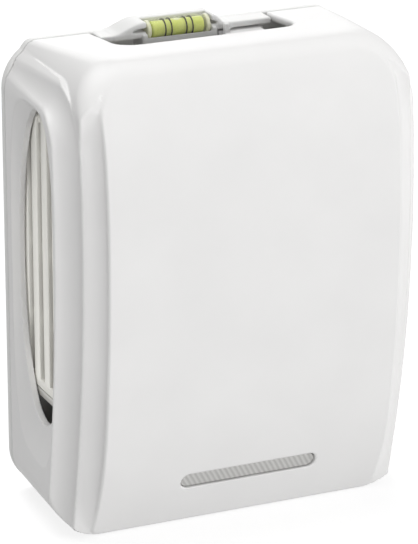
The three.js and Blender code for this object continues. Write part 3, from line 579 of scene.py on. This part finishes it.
def rounded_ends(radius, low, high, edge, steps=4):
    """A turned profile of one radius with rounded rims."""
    profile = [(0.3 * radius, low), (radius - edge, low)]
    for i in range(1, steps + 1):
        angle = math.pi / 2 * i / steps
        out, along = edge * math.sin(angle), edge * math.cos(angle)
        profile.append((radius - edge + out, low + edge - along))
    for i in range(steps + 1):
        angle = math.pi / 2 * i / steps
        out, along = edge * math.cos(angle), edge * math.sin(angle)
        profile.append((radius - edge + out, high - edge + along))
    return profile + [(0.3 * radius, high)]


# Materials ----------------------------------------------------------------------------------------


def graph_of(name):
    material = bpy.data.materials.new(name)
    material.use_nodes = True
    nodes, links = material.node_tree.nodes, material.node_tree.links
    shader = nodes["Principled BSDF"]
    where = nodes.new("ShaderNodeTexCoord")
    return material, nodes, links, shader, where.outputs["Object"]


def noise(nodes, links, where, scale, detail=3.0, stretch=None):
    """Noise by scale in features per metre, with the object's own coordinates."""
    if stretch:
        mapping = nodes.new("ShaderNodeMapping")
        mapping.inputs["Scale"].default_value = stretch
        links.new(where, mapping.inputs["Vector"])
        where = mapping.outputs["Vector"]
    texture = nodes.new("ShaderNodeTexNoise")
    texture.inputs["Scale"].default_value = scale
    texture.inputs["Detail"].default_value = detail
    links.new(where, texture.inputs["Vector"])
    return texture.outputs["Fac"]


def ramp(nodes, links, source, low, high, start=0.3, end=0.7):
    """Colours from low to high as the source goes from start to end."""
    made = nodes.new("ShaderNodeValToRGB")
    made.color_ramp.elements[0].position = start
    made.color_ramp.elements[1].position = end
    made.color_ramp.elements[0].color = (*low, 1)
    made.color_ramp.elements[1].color = (*high, 1)
    links.new(source, made.inputs["Fac"])
    return made.outputs["Color"]


def span(nodes, links, source, low, high):
    made = nodes.new("ShaderNodeMapRange")
    made.inputs["From Min"].default_value = 0.3
    made.inputs["From Max"].default_value = 0.7
    made.inputs["To Min"].default_value = low
    made.inputs["To Max"].default_value = high
    links.new(source, made.inputs["Value"])
    return made.outputs["Result"]


def bumps(nodes, links, shader, source, depth, strength=1.0):
    """Relief of the given depth in metres, over what relief there is."""
    made = nodes.new("ShaderNodeBump")
    made.inputs["Strength"].default_value = strength
    made.inputs["Distance"].default_value = depth
    links.new(source, made.inputs["Height"])
    old = shader.inputs["Normal"].links
    if old:
        links.new(old[0].from_socket, made.inputs["Normal"])
    links.new(made.outputs["Normal"], shader.inputs["Normal"])


def scaled(colour, share):
    return tuple(c * share for c in colour)


def plastic(name, colour, spread=0.03, gloss=(0.36, 0.46), grain=2600.0, depth=0.00002, coat=0.0):
    """Moulded plastic: faint clouding, a fine spark-eroded grain and slow waves from the mould."""
    material, nodes, links, shader, where = graph_of(name)
    cloud = noise(nodes, links, where, 45.0, 4.0)
    links.new(ramp(nodes, links, cloud, scaled(colour, 1 - spread), scaled(colour, 1 + spread / 3)),
              shader.inputs["Base Color"])
    fine = noise(nodes, links, where, grain, 2.0)
    links.new(span(nodes, links, fine, *gloss), shader.inputs["Roughness"])
    bumps(nodes, links, shader, fine, depth, 0.5)
    bumps(nodes, links, shader, noise(nodes, links, where, 30.0, 1.0), 0.00015, 0.25)
    shader.inputs["IOR"].default_value = 1.5
    shader.inputs["Coat Weight"].default_value = coat
    shader.inputs["Coat Roughness"].default_value = 0.25
    return material


def steel(name):
    material, nodes, links, shader, where = graph_of(name)
    brushed = noise(nodes, links, where, 900.0, 3.0, (0.08, 1.0, 1.0))
    tone = ramp(nodes, links, brushed, (0.42, 0.42, 0.43), (0.66, 0.66, 0.67))
    links.new(tone, shader.inputs["Base Color"])
    links.new(span(nodes, links, brushed, 0.22, 0.42), shader.inputs["Roughness"])
    bumps(nodes, links, shader, brushed, 0.00002, 0.4)
    shader.inputs["Metallic"].default_value = 1.0
    return material


def felt(name):
    material, nodes, links, shader, where = graph_of(name)
    matted = noise(nodes, links, where, 380.0, 6.0)
    fibre = noise(nodes, links, where, 1500.0, 4.0, (1.0, 0.25, 1.0))
    tone = ramp(nodes, links, matted, (0.20, 0.165, 0.14), (0.40, 0.345, 0.30))
    links.new(tone, shader.inputs["Base Color"])
    links.new(span(nodes, links, fibre, 0.82, 1.0), shader.inputs["Roughness"])
    bumps(nodes, links, shader, matted, 0.0005, 0.7)
    bumps(nodes, links, shader, fibre, 0.0002, 0.8)
    shader.inputs["Sheen Weight"].default_value = 0.5
    shader.inputs["Sheen Roughness"].default_value = 0.6
    return material


def clear_film(name, low, high, cloud=160.0, rough=(0.08, 0.24), through=0.55, alpha=1.0):
    material, nodes, links, shader, where = graph_of(name)
    soft = noise(nodes, links, where, cloud, 3.0)
    links.new(ramp(nodes, links, soft, low, high), shader.inputs["Base Color"])
    links.new(span(nodes, links, soft, *rough), shader.inputs["Roughness"])
    bumps(nodes, links, shader, soft, 0.0003, 0.3)
    shader.inputs["Transmission Weight"].default_value = through
    shader.inputs["IOR"].default_value = 1.4
    shader.inputs["Alpha"].default_value = alpha
    return material


def frosted(name):
    """The slot's insert: frosted, with fine slanting ribs."""
    material, nodes, links, shader, where = graph_of(name)
    cloud = noise(nodes, links, where, 420.0, 4.0)
    mapping = nodes.new("ShaderNodeMapping")
    mapping.inputs["Rotation"].default_value = (0, math.radians(32), 0)
    links.new(where, mapping.inputs["Vector"])
    ribs = nodes.new("ShaderNodeTexWave")
    ribs.bands_direction = "X"
    ribs.inputs["Scale"].default_value = 240.0
    ribs.inputs["Distortion"].default_value = 1.2
    ribs.inputs["Detail Scale"].default_value = 90.0
    links.new(mapping.outputs["Vector"], ribs.inputs["Vector"])
    dull, bright = (0.50, 0.495, 0.48), (0.66, 0.655, 0.64)
    tone = ramp(nodes, links, ribs.outputs["Fac"], dull, bright, 0.0, 1.0)
    links.new(tone, shader.inputs["Base Color"])
    links.new(span(nodes, links, cloud, 0.40, 0.62), shader.inputs["Roughness"])
    bumps(nodes, links, shader, ribs.outputs["Fac"], 0.0001, 0.5)
    bumps(nodes, links, shader, cloud, 0.0001, 0.4)
    shader.inputs["Transmission Weight"].default_value = 0.12
    return material


def circuit(name):
    """Green solder mask with faint routed tracks under it."""
    material, nodes, links, shader, where = graph_of(name)
    cells = nodes.new("ShaderNodeTexBrick")
    cells.inputs["Scale"].default_value = 300.0
    cells.inputs["Mortar Size"].default_value = 0.05
    cells.inputs["Color1"].default_value = (0.012, 0.11, 0.05, 1)
    cells.inputs["Color2"].default_value = (0.016, 0.15, 0.065, 1)
    cells.inputs["Mortar"].default_value = (0.03, 0.24, 0.11, 1)
    turned = nodes.new("ShaderNodeMapping")
    turned.inputs["Rotation"].default_value = (math.radians(90), 0, 0)
    links.new(where, turned.inputs["Vector"])
    links.new(turned.outputs["Vector"], cells.inputs["Vector"])
    links.new(cells.outputs["Color"], shader.inputs["Base Color"])
    fine = noise(nodes, links, where, 1200.0)
    links.new(span(nodes, links, fine, 0.25, 0.4), shader.inputs["Roughness"])
    bumps(nodes, links, shader, cells.outputs["Fac"], 0.00004, 0.5)
    return material


CASE = plastic("case_plastic", (0.81, 0.805, 0.80), 0.025, (0.40, 0.50))
CASE_REAR = plastic("plate_plastic", (0.78, 0.78, 0.77), 0.03, (0.36, 0.48))
IVORY = plastic("ivory_plastic", (0.87, 0.86, 0.81), 0.04, (0.34, 0.48))
CAP = plastic("cap_plastic", (0.80, 0.80, 0.58), 0.05, (0.22, 0.34), coat=0.3)
DARK = plastic("dark_plastic", (0.030, 0.030, 0.033), 0.3, (0.38, 0.55))
CELL_WRAP = plastic("cell_wrap", (0.045, 0.16, 0.30), 0.12, (0.20, 0.32), coat=0.4)
RUBBER = plastic("seal_rubber", (0.035, 0.035, 0.037), 0.35, (0.62, 0.82), grain=900.0, depth=0.00006)
STEEL = steel("spring_steel")
FELT = felt("wick_felt")
FROSTED = frosted("slot_frosting")
FLUID = clear_film("vial_fluid_lime", (0.66, 0.74, 0.12), (0.80, 0.86, 0.26), 260.0, (0.08, 0.16), 0.05)
BUBBLE = clear_film("bubble_air", (0.80, 0.84, 0.45), (0.90, 0.92, 0.62), 300.0, (0.04, 0.10), 0.1)
GLASS = clear_film("vial_clear", (0.97, 0.98, 0.93), (0.99, 1.0, 0.97), 90.0, (0.01, 0.04), 0.6, 0.22)
BAG = clear_film("bag_film", (0.52, 0.58, 0.16), (0.74, 0.78, 0.38), 120.0, (0.14, 0.34), 0.35)
TUBE = clear_film("tube_clear", (0.66, 0.70, 0.44), (0.84, 0.86, 0.66), 300.0, (0.12, 0.26), 0.45)
MEMBRANE = plastic("membrane_cloth", (0.62, 0.62, 0.60), 0.10, (0.75, 0.95), grain=1800.0, depth=0.00008)
LAMP = clear_film("lamp_lens", (0.10, 0.42, 0.08), (0.20, 0.62, 0.14), 500.0, (0.10, 0.20), 0.25)
BOARD = circuit("board_mask")

# The moulded case ---------------------------------------------------------------------------------

GRID = 0.6
FACES = 190000

cover = moulded("cover_moulding", cover_field, COVER_LOW, COVER_HIGH, GRID, FACES)
finished(cover, "cover", "case", CASE, "front_cover")
plate = moulded("plate_moulding", plate_field, PLATE_LOW, PLATE_HIGH, GRID, FACES * 0.7)
finished(plate, "housing", "case", CASE_REAR, "back_plate")
lens = moulded("slot_lens", window_field, WINDOW_LOW, WINDOW_HIGH, 0.3, 40000)
finished(lens, "cover", "window", FROSTED, "slot_window")

# The vial -----------------------------------------------------------------------------------------

VIAL_AT = (VIAL_X, VIAL_Y, VIAL_Z)
GLASS_HALF = VIAL_HALF - 1.25
LINE_HALF = 0.11

vial = lathe("vial_glass", rounded_ends(VIAL_R, -GLASS_HALF, GLASS_HALF, 0.3), VIAL_AT, "X", 64)
finished(vial, "housing", "vial", GLASS, "vial_tube")
column = rounded_ends(VIAL_R - 0.45, 0.5 - GLASS_HALF, GLASS_HALF - 0.5, 0.5)
liquid = lathe("vial_spirit", column, VIAL_AT, "X", 56)
finished(liquid, "housing", "vial_fluid", FLUID, "vial_liquid")


def egg(radius, half, steps=10):
    """A turned profile of a long bubble."""
    turns = [math.pi * (i + 0.5) / steps for i in range(steps)]
    return [(radius * math.sin(a), -half * math.cos(a)) for a in turns]


bubble = lathe("vial_bubble", egg(1.35, 2.1), (VIAL_X, VIAL_Y, VIAL_Z + 1.2), "X", 32)
finished(bubble, "housing", "vial_fluid", BUBBLE)
for number, offset in enumerate((-4.2, -2.3, 2.3, 4.2)):
    inner, outer = VIAL_R - 0.2, VIAL_R + 0.03
    band = [(inner, -LINE_HALF), (outer, -LINE_HALF), (outer, LINE_HALF), (inner, LINE_HALF)]
    ring = lathe("vial_line_%d" % number, band, (VIAL_X + offset, VIAL_Y, VIAL_Z), "X", 56)
    finished(ring, "housing", "dark_plastic", DARK)
for side, name in ((-1, "left"), (1, "right")):
    outer = VIAL_X + side * VIAL_HALF
    inner = outer - side * 1.2
    low, high = sorted((outer - VIAL_X, inner - VIAL_X))
    cap = lathe("cap_" + name, rounded_ends(VIAL_R, low, high, 0.4), VIAL_AT, "X", 56)
    finished(cap, "housing", "cage", CAP, "vial_cap_" + name)

# Everything that keeps its CAD shape, its edges rounded where it has an edge width ----------------

KEPT = {
    "window_retainer": ("cover", "case", CASE, 0.2),
    "release_latch": ("latch", "case", CASE, 0.22),
    "cage_left": ("cartridge", "cage", IVORY, 0.45),
    "cage_right": ("cartridge", "cage", IVORY, 0.45),
    "cage_top": ("cartridge", "cage", IVORY, 0.4),
    "cartridge_spine": ("cartridge", "cage", IVORY, 0.3),
    "cartridge_shelf": ("cartridge", "cage", IVORY, 0.4),
    "cartridge_tray": ("cartridge", "cage", IVORY, 0.35),
    "reservoir_shell": ("cartridge", "cage", IVORY, 0.35),
    "reservoir_lid": ("cartridge", "cage", IVORY, 0.4),
    "bag_spout": ("cartridge", "cage", IVORY, 0.3),
    "wick_left": ("cartridge", "felt", FELT, 0.8),
    "wick_right": ("cartridge", "felt", FELT, 0.8),
    "oxygen_cell": ("cartridge", "metal", STEEL, 0.4),
    "cell_membrane": ("cartridge", "film", MEMBRANE, 0.2),
    "gas_nipple": ("cartridge", "dark_plastic", DARK, 0.15),
    "cell_seal": ("cartridge", "seal", RUBBER, 0.5),
    "battery": ("cartridge", "dark_plastic", CELL_WRAP, 0.4),
    "contact_plate": ("cartridge", "metal", STEEL, 0.1),
    "control_board": ("cartridge", "circuit", BOARD, 0.15),
    "board_screw_left": ("cartridge", "metal", STEEL, 0.12),
    "board_screw_right": ("cartridge", "metal", STEEL, 0.12),
    "switch_body": ("cartridge", "dark_plastic", DARK, 0.25),
    "rate_slider": ("selector", "dark_plastic", DARK, 0.25),
    "status_lamp": ("cartridge", "window", LAMP, 0.2),
    "hinge_pin_left": ("housing", "metal", STEEL, 0.15),
    "hinge_pin_right": ("housing", "metal", STEEL, 0.15),
    "feed_tube_left": ("cartridge", "film", TUBE, 0.1),
    "feed_tube_right": ("cartridge", "film", TUBE, 0.1),
    "fluid_bag": ("cartridge", "film", BAG, 1.2),
    "latch_spring": ("housing", "metal", STEEL, 0.0),
    "contact_spring": ("cartridge", "metal", STEEL, 0.0),
}
for node, (body, slot_name, material, edge) in KEPT.items():
    if edge:
        finished(softened(node, edge), body, slot_name, material, node)
    else:
        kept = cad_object(node)
        kept.data.materials.clear()
        kept.data.materials.append(material)

# Floor, camera and light --------------------------------------------------------------------------


def pale_floor():
    """A pale glowing floor, hidden from diffuse rays so that it doesn't flatten the shading."""
    mesh = bmesh.new()
    bmesh.ops.create_grid(mesh, x_segments=8, y_segments=8, size=14.0)
    data = bpy.data.meshes.new("floor")
    mesh.to_mesh(data)
    mesh.free()
    floor = add_object("floor", data)
    floor.location = (0, 0, -0.0002)
    material, nodes, links, shader, where = graph_of("floor_paper")
    cloud = noise(nodes, links, where, 3.0, 3.0)
    tone = ramp(nodes, links, cloud, (0.34, 0.34, 0.34), (0.37, 0.37, 0.37))
    links.new(tone, shader.inputs["Base Color"])
    links.new(span(nodes, links, cloud, 0.8, 0.9), shader.inputs["Roughness"])
    shader.inputs["Emission Color"].default_value = (1, 1, 1, 1)
    shader.inputs["Emission Strength"].default_value = 0.72
    floor.visible_diffuse = False
    data.materials.append(material)


def place_camera():
    azimuth, elevation, distance = math.radians(-24.09), math.radians(19.72), 0.95875
    target = Vector((-0.0006, 0.00325, 0.06823))
    flat = math.cos(elevation)
    back = Vector((math.sin(azimuth) * flat, -math.cos(azimuth) * flat, math.sin(elevation)))
    data = bpy.data.cameras.new("camera")
    data.lens = 221.6
    data.sensor_width = 36.0
    data.clip_start, data.clip_end = 0.05, 50.0
    camera = bpy.data.objects.new("camera", data)
    bpy.context.scene.collection.objects.link(camera)
    camera.location = target + back * distance
    camera.rotation_mode = "QUATERNION"
    camera.rotation_quaternion = (-back).to_track_quat("-Z", "Y")
    bpy.context.scene.camera = camera


def soft_light(name, place, power, size, colour=(1, 1, 1)):
    data = bpy.data.lights.new(name, "AREA")
    data.shape = "SQUARE"
    data.energy, data.size, data.color = power, size, colour
    light = bpy.data.objects.new(name, data)
    bpy.context.scene.collection.objects.link(light)
    light.location = place
    aim = Vector((0, 0, 0.07)) - Vector(place)
    light.rotation_mode = "QUATERNION"
    light.rotation_quaternion = aim.to_track_quat("-Z", "Y")
    return light


def studio():
    """Soft lamps round the object, and one that lights only the bars and the wick behind the vent."""
    world = bpy.data.worlds.new("studio")
    bpy.context.scene.world = world
    world.use_nodes = True
    world.node_tree.nodes["Background"].inputs["Color"].default_value = (1, 1, 1, 1)
    world.node_tree.nodes["Background"].inputs["Strength"].default_value = 0.42
    soft_light("key", (-0.25, -1.25, 0.22), 7.2, 0.6)
    soft_light("right", (1.15, -0.75, 0.25), 7.6, 0.6)
    soft_light("top", (-0.15, 0.3, 1.3), 8.8, 0.8)
    soft_light("back", (0.4, 1.25, 0.5), 3.2, 0.7)
    inside = soft_light("inside", (-1.25, -0.55, 0.2), 4.5, 0.6)
    lit = bpy.data.collections.new("lit_inside")
    for name in ("cage_left_shape", "cage_right_shape", "wick_left_shape"):
        lit.objects.link(bpy.data.objects[name])
    inside.light_linking.receiver_collection = lit
    bpy.context.scene.view_settings.view_transform = "Standard"


pale_floor()
place_camera()
studio()
